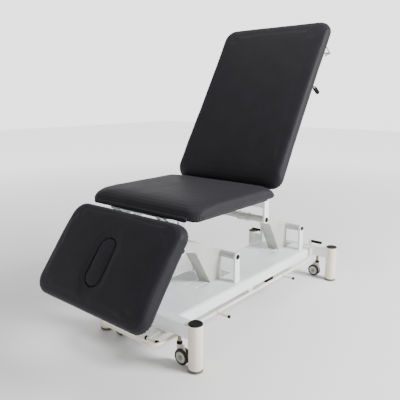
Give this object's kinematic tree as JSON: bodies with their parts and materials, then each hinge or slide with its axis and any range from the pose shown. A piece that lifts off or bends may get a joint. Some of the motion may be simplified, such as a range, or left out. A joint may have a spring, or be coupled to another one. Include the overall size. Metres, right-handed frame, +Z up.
{
  "type": "electric treatment table",
  "caption": "Hi-lo treatment table: padded seat, raised back and lowered head section with a face hole, on a white frame with lift arms, castors and a foot bar.",
  "frame": {"origin": "on the floor under the middle of the base", "axes": "+X along the table towards the back section, +Z up, +Y to the left of a person lying on it"},
  "size_m": [1.6811, 0.65, 1.5042],
  "materials": {
    "white_powder_coat": "gloss",
    "dark_vinyl": "satin",
    "ply_board": "matte",
    "bright_steel": "brushed",
    "black_plastic": "satin",
    "dark_steel": "satin",
    "castor_grey": "satin",
    "foot_rubber": "matte",
    "grey_plastic": "satin"
  },
  "bodies": {
    "base": {"front_end_beam": "white_powder_coat", "rear_end_beam": "white_powder_coat", "deck": "white_powder_coat", "leg_post_front_right": "white_powder_coat", "leg_post_front_left": "white_powder_coat", "leg_post_rear_right": "white_powder_coat", "leg_post_rear_left": "white_powder_coat", "leg_feet": "foot_rubber", "leg_caps": "black_plastic", "front_uprights": "white_powder_coat", "rear_uprights": "white_powder_coat", "front_lower_shaft": "bright_steel", "rear_lower_shaft": "bright_steel", "lower_pivot_caps": "black_plastic", "actuator_clevis": "white_powder_coat", "control_box": "black_plastic", "foot_bar_hangers": "white_powder_coat"},
    "front_arm": {"front_lift_arm": "white_powder_coat"},
    "rear_arm": {"rear_lift_arm": "white_powder_coat"},
    "tie_bars": {"tie_bars": "white_powder_coat"},
    "actuator": {"lift_actuator": "grey_plastic"},
    "actuator_rod": {"actuator_rod": "bright_steel"},
    "top_frame": {"seat_frame": "white_powder_coat", "front_struts": "white_powder_coat", "rear_struts": "white_powder_coat", "spring_brackets": "white_powder_coat", "front_upper_shaft": "bright_steel", "rear_upper_shaft": "bright_steel", "upper_pivot_caps": "black_plastic", "back_hinge_pin": "bright_steel", "head_hinge_pin": "bright_steel", "seat_board": "ply_board", "seat_cushion": "dark_vinyl"},
    "back_section": {"back_frame": "white_powder_coat", "back_board": "ply_board", "back_cushion": "dark_vinyl", "paper_roll_holder": "bright_steel"},
    "head_section": {"head_frame": "white_powder_coat", "head_board": "ply_board", "head_cushion": "dark_vinyl"},
    "face_plug": {"face_hole_plug": "dark_vinyl"},
    "back_spring_cylinder": {"back_spring_cylinder": "dark_steel"},
    "back_spring_rod": {"back_spring_rod": "bright_steel"},
    "head_spring_cylinder": {"head_spring_cylinder": "dark_steel"},
    "head_spring_rod": {"head_spring_rod": "bright_steel"},
    "release_lever": {"back_release_lever": "white_powder_coat", "back_release_grip": "black_plastic"},
    "castor_lift": {"castor_stems": "bright_steel"},
    "castor_pedal": {"castor_pedal": "white_powder_coat", "castor_pedal_caps": "black_plastic"},
    "foot_bar": {"foot_bar": "white_powder_coat", "foot_bar_grips": "black_plastic"},
    "castor_hood_front_right": {"castor_hood_front_right": "grey_plastic"},
    "castor_wheels_front_right": {"castor_wheels_front_right": "castor_grey"},
    "castor_hood_front_left": {"castor_hood_front_left": "grey_plastic"},
    "castor_wheels_front_left": {"castor_wheels_front_left": "castor_grey"},
    "castor_hood_rear_right": {"castor_hood_rear_right": "grey_plastic"},
    "castor_wheels_rear_right": {"castor_wheels_rear_right": "castor_grey"},
    "castor_hood_rear_left": {"castor_hood_rear_left": "grey_plastic"},
    "castor_wheels_rear_left": {"castor_wheels_rear_left": "castor_grey"}
  },
  "joints": [
    {"name": "front_arm", "type": "hinge", "parent": "base", "child": "front_arm", "pos_m": [-0.152, 0, 0.337], "axis": [0, 1, 0], "range_deg": [-30, 32]},
    {"name": "rear_arm", "type": "hinge", "parent": "base", "child": "rear_arm", "pos_m": [0.531, 0, 0.337], "axis": [0, 1, 0], "range_deg": [-30, 32]},
    {"name": "top_level", "type": "hinge", "parent": "front_arm", "child": "top_frame", "pos_m": [-0.57, 0, 0.478], "axis": [0, 1, 0], "range_deg": [-32, 30]},
    {"name": "tie_bars", "type": "hinge", "parent": "front_arm", "child": "tie_bars", "pos_m": [-0.222, 0, 0.102], "axis": [0, 1, 0], "range_deg": [-32, 30]},
    {"name": "actuator_swing", "type": "hinge", "parent": "base", "child": "actuator", "pos_m": [0.23, 0, 0.13], "axis": [0, 1, 0], "range_deg": [-5.75, 6.1]},
    {"name": "actuator_rod_swing", "type": "hinge", "parent": "front_arm", "child": "actuator_rod", "pos_m": [-0.222, 0, 0.102], "axis": [0, 1, 0], "range_deg": [-26.9, 25.25]},
    {"name": "back_tilt", "type": "hinge", "parent": "top_frame", "child": "back_section", "pos_m": [-0.076, 0, 0.653], "axis": [0, -1, 0], "range_deg": [-58.9, 11.1]},
    {"name": "back_spring_swing", "type": "hinge", "parent": "top_frame", "child": "back_spring_cylinder", "pos_m": [-0.05, 0, 0.59], "axis": [0, -1, 0], "range_deg": [-56.87, 11.12]},
    {"name": "back_spring_rod_swing", "type": "hinge", "parent": "back_section", "child": "back_spring_rod", "pos_m": [0.15973, 0, 0.97794], "axis": [0, -1, 0], "range_deg": [-0.98, 3.03]},
    {"name": "head_tilt", "type": "hinge", "parent": "top_frame", "child": "head_section", "pos_m": [-0.686, 0, 0.653], "axis": [0, 1, 0], "range_deg": [-12.1, 72.9]},
    {"name": "head_spring_swing", "type": "hinge", "parent": "top_frame", "child": "head_spring_cylinder", "pos_m": [-0.5, 0, 0.57], "axis": [0, 1, 0], "range_deg": [-4.79, 26.38]},
    {"name": "head_spring_rod_swing", "type": "hinge", "parent": "head_section", "child": "head_spring_rod", "pos_m": [-0.7373, 0, 0.5288], "axis": [0, 1, 0], "range_deg": [-47.52, 8.3]},
    {"name": "face_plug_lift", "type": "slide", "parent": "head_section", "child": "face_plug", "axis": [-0.7976, 0, 0.6032], "range_m": [0, 0.12]},
    {"name": "release_lever", "type": "hinge", "parent": "back_section", "child": "release_lever", "pos_m": [0.26037, 0, 1.1835], "axis": [0, -1, 0], "range_deg": [0, 15], "stiffness_Nm_per_rad": 6},
    {"name": "castor_lift", "type": "slide", "parent": "base", "child": "castor_lift", "axis": [0, 0, -1], "range_m": [0, 0.018]},
    {"name": "castor_pedal", "type": "hinge", "parent": "base", "child": "castor_pedal", "pos_m": [-0.688, 0, 0.138], "axis": [0, -1, 0], "range_deg": [0, 25]},
    {"name": "foot_bar_rock", "type": "hinge", "parent": "base", "child": "foot_bar", "pos_m": [-0.06, 0, 0.126], "axis": [0, 1, 0], "range_deg": [-0.9, 0.9], "stiffness_Nm_per_rad": 400},
    {"name": "castor_swivel_front_right", "type": "hinge", "parent": "castor_lift", "child": "castor_hood_front_right", "pos_m": [-0.655, -0.2, 0.094], "axis": [0, 0, 1], "continuous": true},
    {"name": "castor_roll_front_right", "type": "hinge", "parent": "castor_hood_front_right", "child": "castor_wheels_front_right", "pos_m": [-0.655, -0.218, 0.04], "axis": [1, 0, 0], "continuous": true},
    {"name": "castor_swivel_front_left", "type": "hinge", "parent": "castor_lift", "child": "castor_hood_front_left", "pos_m": [-0.655, 0.2, 0.094], "axis": [0, 0, 1], "continuous": true},
    {"name": "castor_roll_front_left", "type": "hinge", "parent": "castor_hood_front_left", "child": "castor_wheels_front_left", "pos_m": [-0.655, 0.182, 0.04], "axis": [1, 0, 0], "continuous": true},
    {"name": "castor_swivel_rear_right", "type": "hinge", "parent": "castor_lift", "child": "castor_hood_rear_right", "pos_m": [0.655, -0.2, 0.094], "axis": [0, 0, 1], "continuous": true},
    {"name": "castor_roll_rear_right", "type": "hinge", "parent": "castor_hood_rear_right", "child": "castor_wheels_rear_right", "pos_m": [0.655, -0.182, 0.04], "axis": [1, 0, 0], "continuous": true},
    {"name": "castor_swivel_rear_left", "type": "hinge", "parent": "castor_lift", "child": "castor_hood_rear_left", "pos_m": [0.655, 0.2, 0.094], "axis": [0, 0, 1], "continuous": true},
    {"name": "castor_roll_rear_left", "type": "hinge", "parent": "castor_hood_rear_left", "child": "castor_wheels_rear_left", "pos_m": [0.655, 0.218, 0.04], "axis": [1, 0, 0], "continuous": true}
  ],
  "couplings": [
    {"joint": "rear_arm", "follows": "front_arm", "ratio": 1},
    {"joint": "top_level", "follows": "front_arm", "ratio": -1},
    {"joint": "tie_bars", "follows": "front_arm", "ratio": -1},
    {"joint": "actuator_swing", "follows": "front_arm", "ratio": 0.175},
    {"joint": "actuator_rod_swing", "follows": "front_arm", "ratio": -0.825},
    {"joint": "back_spring_swing", "follows": "back_tilt", "ratio": 0.957},
    {"joint": "back_spring_rod_swing", "follows": "back_tilt", "ratio": -0.043},
    {"joint": "head_spring_swing", "follows": "head_tilt", "ratio": 0.355},
    {"joint": "head_spring_rod_swing", "follows": "head_tilt", "ratio": -0.645},
    {"joint": "castor_pedal", "follows": "castor_lift", "rad_per_m": 24.241}
  ]
}
